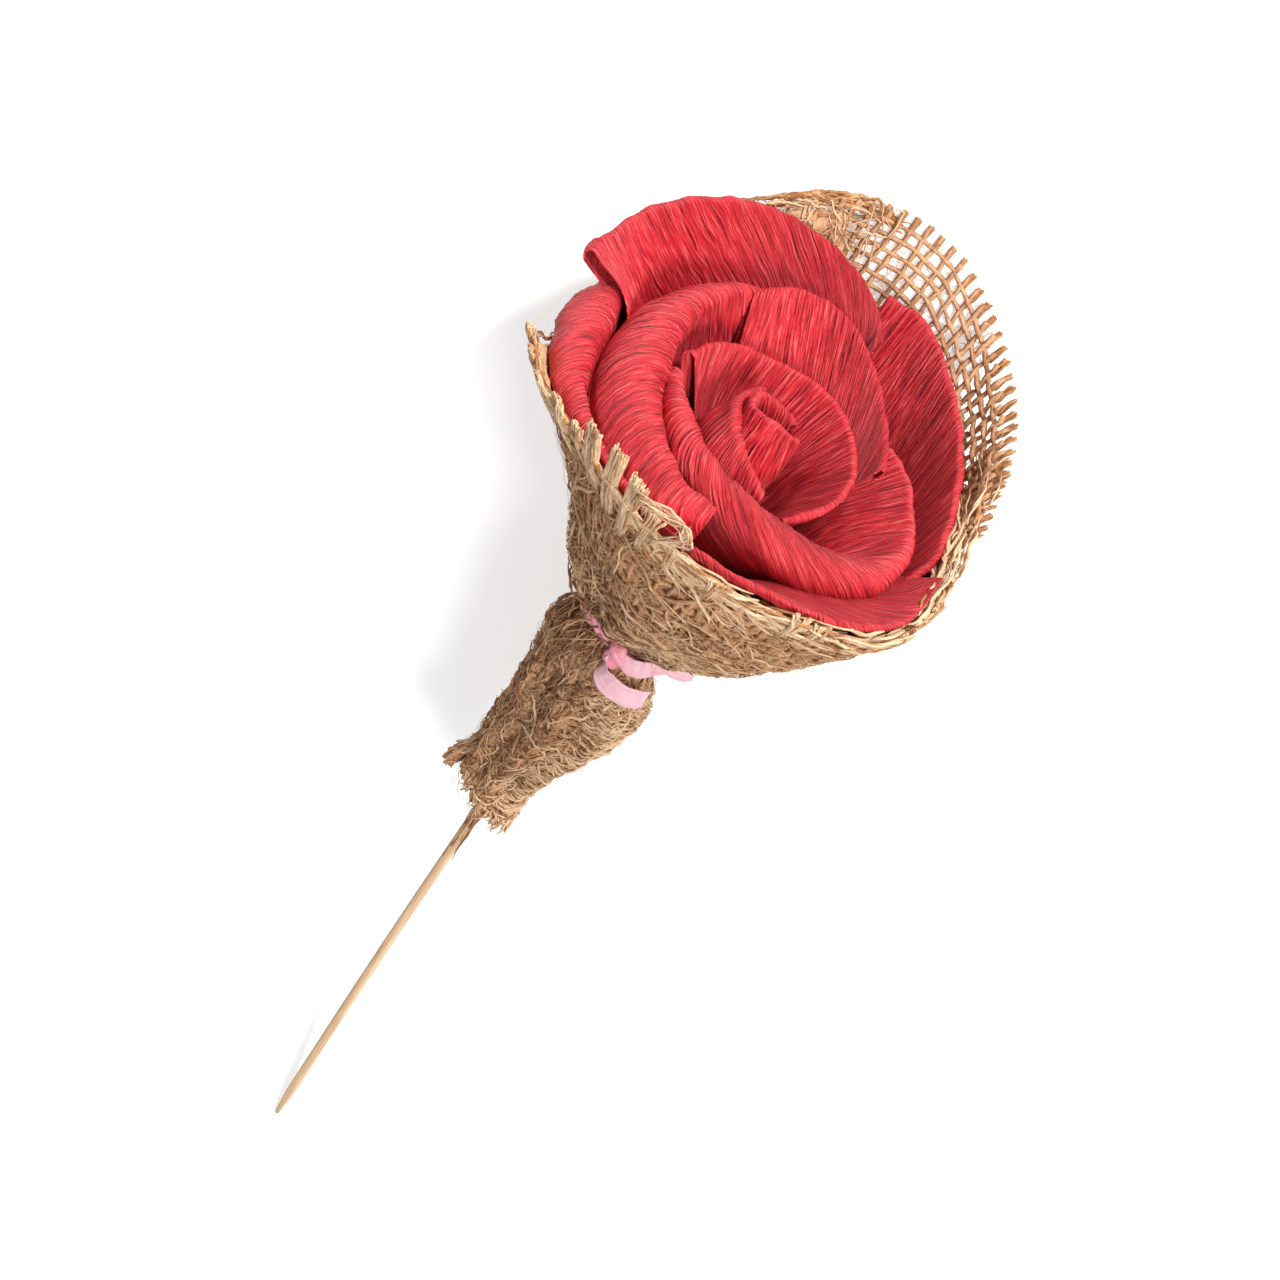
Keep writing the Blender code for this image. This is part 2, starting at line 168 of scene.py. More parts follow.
floor_mesh = bmesh.new()
bmesh.ops.create_grid(floor_mesh, x_segments=1, y_segments=1, size=3)
floor = bpy.data.objects.new("floor", bpy.data.meshes.new("floor"))
floor_mesh.to_mesh(floor.data)
floor_mesh.free()
bpy.context.scene.collection.objects.link(floor)
pale, shader, here = finish("pale_floor", Base_Color=(0.9, 0.9, 0.9, 1), Roughness=0.9)
glow = here.add("ShaderNodeEmission", {}, {"Color": (1, 1, 1, 1), "Strength": 0.5})
diffuse = Tone(shader.outputs["BSDF"])
lit = here.add("ShaderNodeAddShader", {}, {0: diffuse, 1: glow})
white = here.add("ShaderNodeMixShader", {}, {0: direct(pale.node_tree), 1: diffuse, 2: lit})
pale.node_tree.links.new(white.socket, pale.node_tree.nodes["Material Output"].inputs["Surface"])
floor.data.materials.append(pale)

world = bpy.data.worlds.new("surround")
bpy.context.scene.world = world
world.use_nodes = True
surround = world.node_tree.nodes["Background"]
surround.inputs["Color"].default_value = (1, 1, 1, 1)
world.node_tree.links.new((direct(world.node_tree) * 0.6 + 0.4).socket, surround.inputs["Strength"])

for name, watts, size, lamp_from in (("key", 14.0, 0.1, W * 0.9 + U * 0.3 + V * 0.22),
                                     ("fill", 11.5, 0.5, down * 0.5 + right * 0.3 + toward * 0.75)):
    lamp = bpy.data.objects.new(name, bpy.data.lights.new(name, "AREA"))
    lamp.data.shape, lamp.data.size, lamp.data.energy = "DISK", size, watts
    bpy.context.scene.collection.objects.link(lamp)
    lamp.location = TIE * MM + W * 0.06 + lamp_from.normalized() * 1.3
    lamp.rotation_euler = lamp_from.to_track_quat("Z", "Y").to_euler()
bpy.context.scene.view_settings.view_transform = "Standard"


# Form of the gathered wrap, which the bloom fills: a funnel from the tie to a cut rim that stands high on the
# side on the table, and a slack tail below the tie.
# Each row of WRAP: height from the tie, radius, sideways shift. Each row of RIM: turn, radius, height.
WRAP = np.array([(-70, 5.6, 1.0), (-65, 6.8, 0.2), (-61, 7.7, -1.4), (-55, 8.6, -2.8), (-46, 8.6, -1.9),
                 (-38, 10.0, -0.7), (-28, 12.1, 1.1), (-19, 13.6, 1.2), (-12, 13.8, 0.5), (-7, 13.2, -0.1),
                 (-3, 10.4, 0), (0, 9.8, 0), (3, 10.6, 0), (8, 15.6, 0.2), (13, 19.0, 0.8), (19, 23.4, 2.0),
                 (28, 29.6, 2.6), (36, 35.0, 1.8), (43, 39.6, 0.8), (52, 45.0, 0), (65, 50.5, 0),
                 (80, 56, 0), (95, 60, 0), (110, 63, 0)])
RIM = np.array([(0, 46, 64), (25, 48, 64.5), (37, 50.5, 66), (50, 54.5, 68), (62, 53.5, 70.3), (74, 50, 72),
                (87, 47.5, 73.6), (95, 46.3, 75), (107, 47.3, 78.5), (116, 48.7, 81.5), (133, 52.5, 86.5),
                (146, 56, 89.5), (160, 59.5, 94.5), (171, 59, 100), (180, 58.5, 101), (188, 58, 100),
                (200, 57.8, 95), (213, 56.5, 88), (225, 56, 81.5), (237, 54, 75), (250, 50.5, 66),
                (262, 48.5, 61.5), (274, 48.5, 61), (287, 50.5, 63.5), (299, 56, 71.5), (311, 53.5, 68.3),
                (324, 48.5, 66), (336, 47, 65), (348, 46, 64)])


def rim(turn):
    """Radius and height of the cut edge at a turn."""
    return [np.interp(turn, RIM[:, 0], RIM[:, k], period=360) for k in (1, 2)]


def lean(h, turn):
    """The tie runs round the neck aslant: how far it lifts the cloth at a height and turn."""
    a = np.radians(turn)
    return (3.6 + 5.0 * np.cos(a) - 2.3 * np.sin(a)) * (1 - smooth((np.abs(h - 3) - 6) / 36))


def funnel(h, turn):
    """Radius and sideways shift of the cloth without its pleats, and how deep the pleats are."""
    level = h - lean(h, turn)
    rim_r, rim_h = rim(turn)
    at_rim = np.interp(rim_h, WRAP[:, 0], WRAP[:, 1])
    r = np.interp(level, WRAP[:, 0], WRAP[:, 1])
    r = r * (1 + (rim_r / at_rim - 1) * smooth((h - 38) / (rim_h - 38)))
    fallen = smooth(1.2 - np.abs((turn - 312 + 180) % 360 - 180) / 45) * smooth((h - 26) / 14)
    deep = 1.5 * smooth((h - 6) / 10) * smooth((44 - h) / 26)
    deep = deep + 1.2 * smooth((-2 - h) / 9) * smooth((h + 64) / 22)
    return r - 6.4 * fallen * smooth((70 - h) / 16), np.interp(level, WRAP[:, 0], WRAP[:, 2]), deep


def within(points, gap):
    """Points of the bloom, drawn in to leave a gap inside the wrap, up to its rim."""
    u, v, h = points[..., 0], points[..., 1], points[..., 2]
    turn = np.degrees(np.arctan2(v, u)) % 360
    r, side, deep = funnel(h, turn)
    room = r - deep - gap + 9 * smooth((h - rim(turn)[1] - 2.6) / 4)
    reach = np.hypot(u, v - side)
    share = np.minimum(1, room / np.maximum(reach, 1e-6))
    return np.stack([u * share, side + (v - side) * share, h], -1)


# Bloom: one long strip of red crepe paper, doubled over along its length, rolled round the stick and folded
# over on itself at each petal. The crinkle runs across the strip, so over each petal's folded edge.
# Each station: turn, crest radius, crest height, crest half-thickness, radius and height halfway down,
# root radius.
PETALS = {
    "outer_top": [
        (270, 52, 78, 1.5, 40, 70, 34), (252, 53, 82, 1.3, 42, 66, 35), (233, 53.5, 86, 1.3, 45, 62, 36),
        (214, 53, 88, 1.3, 44, 64, 34), (197, 49, 88, 1.3, 41, 66, 32), (182, 44, 86, 1.3, 37, 66, 28),
        (170, 38, 82, 1.5, 33, 62, 26)],
    "outer_right": [
        (178, 49, 86, 1.3, 44, 62, 36), (165, 48.5, 87, 1.3, 43, 62, 36), (148, 45.5, 84, 1.3, 42, 60, 35),
        (128, 43, 80, 1.3, 39, 58, 34), (108, 42, 76, 1.3, 37, 57, 33), (90, 43, 72, 1.3, 37, 56, 33),
        (74, 42, 65, 1.3, 36, 54, 33)],
    "outer_base": [
        (80, 47.5, 72.5, 1.4, 34, 57, 28), (66, 50.5, 70.5, 1.3, 33, 57, 28),
        (50, 51.5, 69, 1.3, 31, 56, 28), (34, 48.5, 67.5, 1.3, 31, 55, 28), (16, 46, 67, 1.3, 33, 54, 28),
        (-2, 45, 66, 1.3, 34, 53, 28), (-16, 44, 65, 1.3, 34, 52, 28)],
    "outer_left": [
        (264, 45, 73, 2.4, 40, 59, 32), (275, 45, 73.5, 5.0, 40, 59, 32),
        (287, 45.5, 72.5, 5.0, 40.5, 59, 32), (298, 46, 71, 4.4, 41, 57, 32),
        (311, 46, 68, 3.0, 40, 55, 32), (326, 44, 65.5, 2.6, 38, 54, 31), (340, 42, 64, 2.0, 37, 52, 30)],
    "second_left": [
        (208, 36, 79, 1.4, 31, 62, 22), (225, 35.5, 78.5, 1.8, 31, 62, 22), (243, 34, 77, 3.6, 31, 60, 22),
        (262, 32.5, 75, 6.0, 31, 58, 23), (285, 31.5, 72.5, 7.6, 31, 57, 23),
        (307, 31.5, 70, 8.0, 31, 56, 23), (328, 32, 68.5, 7.6, 31, 55, 23),
        (347, 33, 67.5, 6.2, 31, 54, 23), (362, 30, 66, 3.0, 29, 53, 22)],
    "second_right": [
        (219, 34.4, 78.2, 1.4, 25.5, 63.5, 16.4), (204, 37.5, 81, 1.3, 27, 64, 18),
        (188, 37.5, 82, 1.3, 28, 64, 19), (172, 34, 80.5, 1.3, 27, 64, 19),
        (153, 30, 77.5, 1.3, 25, 62, 18), (134, 27.5, 75, 1.3, 23, 60, 17), (116, 26, 72, 1.4, 22, 58, 16)],
    "fan": [
        (128, 28, 74, 1.3, 22, 60, 17), (113, 31, 74, 1.3, 22, 59, 17), (97, 34, 72.5, 1.5, 23, 58, 18),
        (80, 38, 70.5, 2.0, 26, 57, 18), (63, 36.5, 69.5, 4.4, 27, 56, 19), (46, 31, 68.5, 5.4, 25, 56, 18),
        (26, 25.5, 68, 5.2, 22, 55, 17), (4, 22, 68, 4.6, 20, 54, 16), (-20, 20.5, 68, 4.0, 19, 54, 15),
        (-42, 20.5, 69, 3.4, 19, 54, 15), (-64, 21.5, 69.5, 2.6, 19, 54, 15),
        (-84, 23.5, 70, 1.6, 19, 55, 14)],
    "inner_cup": [
        (262, 23.5, 71, 1.5, 17, 60, 9), (246, 23, 72.5, 1.3, 18, 60, 10), (228, 22, 73, 1.3, 18, 60, 11),
        (207, 20.5, 73, 1.3, 17, 60, 11), (178, 20.5, 73.5, 1.3, 16, 60, 11),
        (150, 20.5, 73, 1.3, 16, 60, 11), (126, 20.5, 71, 1.3, 15, 59, 11), (98, 20, 69, 1.3, 14, 58, 10),
        (74, 19.5, 67.5, 1.3, 14, 57, 10), (54, 19.5, 66, 1.3, 15, 56, 10), (40, 20, 64.5, 1.3, 16, 55, 10)],
    "bud_left": [
        (212, 12.5, 71, 1.3, 10.5, 60, 5.2), (238, 10.5, 71, 1.3, 10.5, 60, 5.2),
        (268, 9.4, 71, 1.5, 11.5, 61, 5.2), (302, 9.0, 71, 1.6, 12, 61, 5.2),
        (338, 10.5, 70, 1.6, 13, 60, 5.4), (364, 13, 68.5, 1.5, 14, 59, 6), (384, 16, 66.5, 1.5, 15, 58, 7)],
    "bud": [
        (140, 4.6, 72.5, 1.2, 4.0, 60, 2.6), (176, 4.4, 73.5, 1.2, 4.2, 60, 2.6),
        (214, 5.2, 74, 1.2, 4.4, 60, 2.6), (240, 7.4, 74, 1.2, 5.0, 60, 2.6),
        (268, 7.0, 74, 1.2, 5.4, 60, 3), (294, 6.4, 74, 1.2, 5.6, 60, 3), (322, 3.7, 74, 1.2, 5.0, 61, 3),
        (362, 2.6, 74, 1.2, 5.0, 61, 3), (405, 3.4, 73.5, 1.2, 5.0, 61, 3), (430, 4.9, 73, 1.2, 5.2, 60, 3),
        (462, 5.4, 72, 1.2, 5.0, 60, 3)],
}
# How far the crinkle slants along the strip for each millimetre down from the folded edge, from end to end of
# each petal, and how much its ridges draw together toward the gathered foot.
CRINKLE = {"outer_top": ((-0.6, -0.85, -1.0, -1.2, -1.4), 0.35), "outer_right": ((-0.1, -0.4, -0.5), 0.3),
           "outer_base": ((-1.6, -1.2, -0.7, -0.6, -0.9, -1.3), 0.3), "outer_left": ((0.5, 0.6, 0.6), 0.5),
           "second_left": ((0.3, 0.5, 0.7, 0.7, 0.6), 0.5),
           "second_right": ((-0.35, -0.55, -0.8, -1.0), 0.25),
           "fan": ((0.0, 0.0, -0.3, -0.9, -1.2, -1.2, -0.8, -0.2, 0.3), 1.0),
           "inner_cup": ((0.1, 0.1, 0.0), 0.9),
           "bud_left": ((0.3, 0.3), 0.8), "bud": ((0.2, 0.2), 0.6)}
PAPER = 0.35


def spline(rows, at):
    """Catmull-Rom through rows of numbers, read at places from 0 to 1."""
    rows = np.asarray(rows, float)
    ends = np.concatenate([2 * rows[:1] - rows[1:2], rows, 2 * rows[-1:] - rows[-2:-1]])
    s = np.asarray(at, float) * (len(rows) - 1)
    i = np.minimum(s.astype(int), len(rows) - 2)
    t = (s - i).reshape((-1,) + (1,) * (rows.ndim - 1))
    a, b, c, d = ends[i], ends[i + 1], ends[i + 2], ends[i + 3]
    square, cube = 2 * a - 5 * b + 4 * c - d, 3 * b - a - 3 * c + d
    return 0.5 * (2 * b + (c - a) * t + square * t * t + cube * t ** 3)


def crinkle(q, v, seed):
    """Height of the crepe in mm, q mm along the strip and v mm across it: waves, and ridges that a mesh can
    only carry near the folded edge."""
    bend = noise.noise(Vector((q / 8.0, v / 14.0, seed)))
    q += 0.8 * bend
    broad = noise.noise(Vector((q / 2.6, v / 26.0, seed + 3.0)))
    sharp = noise.noise(Vector((q / 1.2, v / 17.0, seed + 7.0)))
    return 0.32 * bend + 0.22 * broad + 0.6 * (0.25 - abs(sharp)) * min(1.0, max(0.0, 1.4 - abs(v) / 9.0))


def petal(name, stations, seed):
    """A doubled strip standing on its cut edges, folded edge up, as one crinkled sheet of paper."""
    stations = np.array(stations, float)
    rough = spline(stations, np.linspace(0, 1, 80))
    crest = np.stack([rough[:, 1] * np.cos(np.radians(rough[:, 0])),
                      rough[:, 1] * np.sin(np.radians(rough[:, 0])), rough[:, 2]], 1)
    run = np.concatenate([[0], np.cumsum(np.linalg.norm(np.diff(crest, axis=0), axis=1))])
    columns, half, tip = int(run[-1] / 0.42), 20, 6
    q = np.linspace(0, run[-1], columns + 1)
    at = np.interp(q, run, np.linspace(0, 1, 80))
    turn, r, h, roll, mid_r, mid_h, root = spline(stations, at).T
    roll = np.where(roll < 1.45, 0.75, roll)
    r = r * (1 + 0.014 * np.array([noise.noise(Vector((x / 6.0, 0, seed))) for x in q]))
    h = h + 0.35 * np.array([noise.noise(Vector((x / 4.0, 9, seed))) for x in q])
    centre = np.stack([np.stack([root, np.full_like(root, 46.0)], 1), np.stack([mid_r, mid_h], 1),
                       np.stack([r, h - roll], 1)])
    places = 1 - (1 - np.linspace(0, 1, half)) ** 1.5
    down_line = spline(centre, places)
    wide = np.stack([np.full_like(roll, 1.4), 0.6 * roll + 0.7, roll])
    wide = np.stack([np.interp(2 * places, [0, 1, 2], wide[:, i]) for i in range(columns + 1)], 1)
    step = np.gradient(down_line, axis=0)
    step /= np.linalg.norm(step, axis=2, keepdims=True)
    side = np.stack([step[..., 1], -step[..., 0]], 2)
    outer = down_line + side * wide[..., None]
    inner = down_line - side * wide[..., None]
    arc = np.radians(np.linspace(0, 180, tip + 2)[1:-1])[:, None, None]
    cap = down_line[-1] + wide[-1][:, None] * (side[-1] * np.cos(arc) + step[-1] * np.sin(arc))
    section = np.concatenate([outer, cap, inner[::-1]])
    length = np.concatenate([np.zeros((1, columns + 1)),
                             np.cumsum(np.linalg.norm(np.diff(section, axis=0), axis=2), axis=0)])
    length -= length[half + tip // 2]
    a = np.radians(turn)
    points = np.stack([section[..., 0] * np.cos(a), section[..., 0] * np.sin(a), section[..., 1]], 2)
    out = np.cross(np.gradient(points, axis=1), np.gradient(points, axis=0))
    out /= np.maximum(np.linalg.norm(out, axis=2, keepdims=True), 1e-9)
    if np.sum(out[half + tip // 2, :, 2]) < 0:
        out = -out
    rows = len(section) - 1
    slants, gather = CRINKLE[name]
    slant = np.interp(q, np.linspace(0, q[-1], len(slants)), slants)
    squeeze = (np.linalg.norm(points[..., :2], axis=2) / np.maximum(r, 4)) ** (1 - gather)
    grain = q[-1] / 2 + (q - q[-1] / 2) * squeeze + slant * length
    height = np.array([[crinkle(grain[j, i], length[j, i], seed) for i in range(columns + 1)]
                       for j in range(rows + 1)])
    points += out * (height * np.minimum(1, 0.45 + wide[-1] / 5)[None, :])[..., None]
    placed = lying(within(points, 1.7), 1.7)

    paper = bmesh.new()
    strip = paper.loops.layers.uv.new("strip")
    bmesh.ops.create_grid(paper, x_segments=columns, y_segments=rows, size=0.5, calc_uvs=True)
    for vert in paper.verts:
        i, j = round((vert.co.x + 0.5) * columns), round((vert.co.y + 0.5) * rows)
        vert.co = placed[j, i]
    for face in paper.faces:
        face.smooth = True
        for loop in face.loops:
            i, j = round(loop[strip].uv.x * columns), round(loop[strip].uv.y * rows)
            loop[strip].uv = (grain[j, i] + 100 * seed, length[j, i])
    mesh = bpy.data.meshes.new("petal_" + name)
    paper.to_mesh(mesh)
    paper.free()
    sheet = bpy.data.objects.new("petal_" + name, mesh)
    bpy.context.scene.collection.objects.link(sheet)
    thick = sheet.modifiers.new("paper", "SOLIDIFY")
    thick.thickness, thick.offset = PAPER * MM, 0
    mesh.materials.append(crepe)
    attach(sheet, "root")
    return sheet


crepe, shader, here = finish("crepe_red", Roughness=0.48, Specular_IOR_Level=0.4)
shader.inputs["Sheen Weight"].default_value = 0.06
shader.inputs["Sheen Roughness"].default_value = 0.35
shader.inputs["Sheen Tint"].default_value = (1, 0.5, 0.5, 1)
strip = here.add("ShaderNodeUVMap", {"uv_map": "strip"})


def streaks(tight, long, detail):
    """Noise drawn out across the strip: how tight it is per mm along the strip, and each streak's length."""
    drawn = strip.add("ShaderNodeMapping", {}, {"Vector": strip, "Scale": (tight, 1 / long, 1)})
    return strip.add("ShaderNodeTexNoise", {},
                     {"Vector": drawn, "Scale": 1.0, "Detail": detail, "Roughness": 0.6})


ridge = 0.5 - strip.maths("ABSOLUTE", streaks(1.0, 14.0, 1.0) - 0.5) * 2.2
grain, thread = streaks(2.3, 9.0, 3.0), streaks(5.0, 4.0, 2.0)
# The colour follows the crinkle's relief: its top stop is a painted pinkish highlight on the ridges, and its
# lowest stop is painted shade in the valleys between them.
lift = (ridge * 0.6 + grain * 1.3 + thread * 0.7 - 1.2).between(-0.38, 0.36)
red = strip.add("ShaderNodeValToRGB", {"stops": [
    (0.0, (0.20, 0.002, 0.008)), (0.32, (0.51, 0.009, 0.021)), (0.7, (0.74, 0.022, 0.035)),
    (1.0, (0.88, 0.140, 0.145))]}, {"Fac": lift})
bump = strip.add("ShaderNodeBump", {}, {"Height": ridge + grain + thread * 0.4, "Distance": 0.0008,
                                        "Strength": 1.0})
wear(shader, Base_Color=red, Normal=bump)
petals = [petal(name, stations, 3.7 * k) for k, (name, stations) in enumerate(PETALS.items())]
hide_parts("crepe_bloom")


# Wrap: a piece of loose-woven jute gathered round the bloom, pleated at the tie and slack again below it.
# WARPS yarns run along the stick, and the weft yarns run round it at PITCH mm. The cut edge frays: the yarns
# end in a fringe past the last crossing.
WARPS, PITCH, YARN = 111, 3.0, 0.62
dice = np.random.default_rng(7)
noise.seed_set(7)


def cloth(turn, h, off=0.0):
    """A point of the wrap, off mm out from its middle surface."""
    turn, h = np.asarray(turn, float), np.asarray(h, float)
    a = np.radians(turn)
    r, side, deep = funnel(h, turn)
    slope = (funnel(h + 1, turn)[0] - funnel(h - 1, turn)[0]) / 2
    around = (turn - 99) % 360
    fold = np.where(around < 64.6, np.cos(2 * math.pi * 2 * around / 64.6),
                    np.cos(2 * math.pi * 6 * (around - 64.6) / 295.4))
    tight = 0.55 * smooth((40 - np.abs(h - 4)) / 30) * smooth((np.abs(h - lean(h, turn)) - 1.5) / 5)
    crease = np.cos(2 * math.pi * 27 * turn / 360 + 2.5 * np.sin(h / 9))
    r = r + deep * fold + tight * crease + off / np.sqrt(1 + slope ** 2)
    return np.stack([r * np.cos(a), side + r * np.sin(a), h - off * slope / np.sqrt(1 + slope ** 2)], -1)


def wander(points, reach, scale, seed):
    """Points moved by up to about reach mm, smoothly over scale mm."""
    moves = [noise.noise_vector(Vector(p) / scale + Vector((seed, 0, seed * 0.7))) for p in points]
    return points + np.array(moves) * np.reshape(reach, (-1, 1))


def strands(name, paths, material):
    """Strands as one mesh, four faces round. Each path: points in mm, radii in mm, and whether it closes on
    itself."""
    curve = bpy.data.curves.new(name, "CURVE")
    curve.dimensions, curve.use_fill_caps = "3D", True
    curve.bevel_depth, curve.bevel_resolution = MM, 0
    for points, radii, closed in paths:
        line = curve.splines.new("POLY")
        line.points.add(len(points) - 1)
        placed = np.concatenate([lying(points, 0.7), np.ones((len(points), 1))], 1)
        line.points.foreach_set("co", placed.ravel())
        line.points.foreach_set("radius", np.broadcast_to(radii, len(points)).astype(float))
        line.use_cyclic_u = closed
    draft = bpy.data.objects.new(name, curve)
    mesh = bpy.data.meshes.new_from_object(draft)
    bpy.data.objects.remove(draft)
    capped = bmesh.new()
    capped.from_mesh(mesh)
    bmesh.ops.remove_doubles(capped, verts=capped.verts, dist=0.002 * MM)
    capped.to_mesh(mesh)
    capped.free()
    mesh.name = name
    for face in mesh.polygons:
        face.use_smooth = True
    piece = bpy.data.objects.new(name, mesh)
    bpy.context.scene.collection.objects.link(piece)
    mesh.materials.clear()
    mesh.materials.append(material)
    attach(piece, "root")
    return piece


def jute(name, dark, light, spread=0.25):
    """Raw jute: fine pale and brown fibres side by side, in patches of more and less sun-bleached yarn."""
    material, shader, here = finish(name, Roughness=0.9, Specular_IOR_Level=0.15)
    fibres = here.add("ShaderNodeTexNoise", {},
                      {"Vector": here, "Scale": 1300.0, "Detail": 4.0, "Roughness": 0.7})
    patches = here.add("ShaderNodeTexNoise", {},
                       {"Vector": here, "Scale": 190.0, "Detail": 3.0, "Roughness": 0.6})
    shade = fibres * 0.55 + patches * 0.55 - 0.05
    bump = here.add("ShaderNodeBump", {}, {"Height": fibres, "Distance": 0.0004, "Strength": 0.8})
    colour = shade.between(0.5 - spread, 0.5 + spread).mix((*dark, 1), (*light, 1))
    wear(shader, Base_Color=colour, Normal=bump)
    return material


yarn_jute = jute("jute_yarn", (0.31, 0.130, 0.058), (0.87, 0.52, 0.285))
pale_jute = jute("jute_pale", (0.62, 0.36, 0.200), (0.97, 0.73, 0.48))
brown_jute = jute("jute_brown", (0.15, 0.058, 0.028), (0.47, 0.235, 0.125))
rust_jute = jute("jute_rust", (0.26, 0.095, 0.032), (0.66, 0.33, 0.140))


def tilt(h, turn):
    """The tail is cut aslant: how far its rows are lifted on the left and let down on the right."""
    return 5.5 * smooth((-14 - h) / 44) * np.cos(np.radians(turn - 280))


def hem(turn):
    """Height of the last weft yarn. The cloth is rolled over along the top, and frays back elsewhere."""
    return rim(turn)[1] - 3.6 + 2.0 * smooth((turn % 360 - 186) / 14) * smooth((246 - turn % 360) / 14)


def crossings(turn):
    """Heights of the weft yarns at a turn, from the tail up, and the number of those that follow the rim."""
    top = np.arange(hem(turn), 33, -PITCH)[::-1]
    low = np.arange(-58, 31, PITCH)
    return np.concatenate([low + lean(low, turn) + tilt(low, turn), top]), len(top)


yarns = []
for i, turn in enumerate(99 + np.arange(WARPS) * 360 / WARPS):
    heights, rows = crossings(turn)
    order = np.concatenate([np.arange(len(heights) - rows), np.arange(rows)[::-1]])
    over_under = 0.42 * (-1.0) ** (order + i)
    h = np.insert(heights, np.arange(1, len(heights)), (heights[1:] + heights[:-1]) / 2)
    off = np.insert(over_under, np.arange(1, len(heights)), 0.0)
    right_side = smooth((turn % 360 - 92) / 12) * smooth((204 - turn % 360) / 14)
    ends = (1.2 + 1.8 * right_side) * (0.8 + 0.4 * dice.random())
    h = np.concatenate([[h[0] - 3.0 * dice.random()], h, h[-1] + ends * np.array([0.45, 1.0])])
    off = np.concatenate([[0.0], off, [-off[-1] * 0.6, 0.6 * dice.normal()]])
    crowd = smooth((2.3 - 2 * math.pi * np.linalg.norm(cloth(turn, h)[:, :2], axis=1) / WARPS) / 1.0)
    off -= crowd * (i % 3) * 0.75
    side = turn + 0.2 * np.cumsum(dice.normal(size=len(h)))
    side += (turn - side[-3]) * np.linspace(0, 1, len(h))
    radii = YARN * (1 + 0.16 * dice.normal(size=len(h))) * (1 - 0.25 * crowd)
    radii[-1] *= 0.8
    loose = 0.3 + 0.6 * (1 - right_side) * smooth((66 - h) / 20)
    yarns.append((wander(cloth(side, h, off), loose, 6.0, 1.0), np.clip(radii, 0.2, 0.8), False))
around = np.arange(2 * WARPS) / 2
turn = 99 + around * 360 / WARPS
crossing = np.where(around % 1 == 0, -0.42 * (-1.0) ** around.astype(int), 0.0)
for row, low in enumerate(np.arange(-58, 31, PITCH)):
    h = low + lean(low, turn) + tilt(low, turn) + 0.4 * np.sin(np.radians(turn) * 5 + row)
    points = wander(cloth(turn, h, crossing * (-1.0) ** row), 0.8, 7.0, 2.0 + row)
    yarns.append((points, YARN * 0.92 * (1 + 0.15 * dice.normal(size=len(turn))), True))
for row in range(24):
    h = hem(turn) - PITCH * row
    points = wander(cloth(turn, h, crossing * (-1.0) ** row), 0.5, 7.0, 40.0 + row)
    radii = YARN * (1 + 0.15 * dice.normal(size=len(turn)))
    kept = h > 32
    line = np.roll(np.arange(len(turn)), -int(np.argmin(kept)))
    run = line[kept[line]]
    if len(run) > 4:
        yarns.append((points[run], radii[run], bool(kept.all())))
weave = strands("burlap_weave", yarns, yarn_jute)
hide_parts("burlap_wrap")

# Matting: where the cloth is doubled and felted the yarns no longer show singly. It stays clear of the open
# weave on the right, and its edge is as ragged as the yarns'.
matted = bmesh.new()
bmesh.ops.create_grid(matted, x_segments=240, y_segments=80, size=0.5)
for vert in matted.verts:
    turn, share = (vert.co.x + 0.5) * 360 + 99, vert.co.y + 0.5
    stop = rim(turn)[1] - 3.0 - 21 * smooth(((turn % 360) - 88) / 14) * smooth((198 - turn % 360) / 10)
    stop += 1.6 * noise.noise(Vector((turn / 6, 0, 3)))
    start = -57.5 + tilt(-58, turn) + 1.5 * noise.noise(Vector((turn / 9, 0, 8)))
    h = start + (stop - start) * share
    p = Vector(cloth(turn, h))
    off = 0.45 * noise.noise(p / 3.0) + 0.3 * noise.noise(p / 1.1)
    vert.co = lying(cloth(turn, h, -0.5 + off), 0.5)
bmesh.ops.remove_doubles(matted, verts=matted.verts, dist=0.01 * MM)
for face in matted.faces:
    face.smooth = True
felt_mesh = bpy.data.meshes.new("burlap_matting")
matted.to_mesh(felt_mesh)
matted.free()
felt = bpy.data.objects.new("burlap_matting", felt_mesh)
bpy.context.scene.collection.objects.link(felt)
thick = felt.modifiers.new("cloth", "SOLIDIFY")
thick.thickness, thick.offset = 0.4 * MM, 0
felt_mesh.materials.append(jute("jute_felt", (0.46, 0.22, 0.110), (0.94, 0.61, 0.36)))
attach(felt, "root")


# Loose fibres: pulled from the yarns and lying over them. They run round the funnel below the rim, along the
# stick on the tail, and every way at the neck.
def stray(turn, h, heading, length, lift, curl):
    """A fibre lying on the wrap from a turn and height, heading in degrees from sideways toward the rim."""
    line, step = [], length / 9
    for k in range(10):
        line.append((turn, h, lift * math.sin(math.pi * (k + 0.6) / 10)))
        heading += curl * dice.normal()
        r = max(float(funnel(h, turn)[0]), 3.0)
        turn += math.degrees(step * math.cos(math.radians(heading)) / r)
        h += step * math.sin(math.radians(heading)) * (0.75 if 4 < h < 45 else 0.97)
    turn, h, out = np.array(line).T
    return cloth(turn, np.minimum(h, rim(turn)[1] + 0.7), 0.55 + out)


TAPER = np.array([0.4, 0.8, 1, 1, 1, 1, 1, 0.9, 0.7, 0.35])
fibres = {"pale": [], "brown": [], "yarn": [], "rust": []}


def lay(path, tone, share, other, reach, scale, thin, thick):
    """Add a fibre along a path: of one tone for that share of the fibres, and of the other for the rest."""
    kind = tone if dice.random() < share else other
    path = wander(path, reach, scale, dice.random() * 50)
    fibres[kind].append((path, dice.uniform(thin, thick) * TAPER, False))


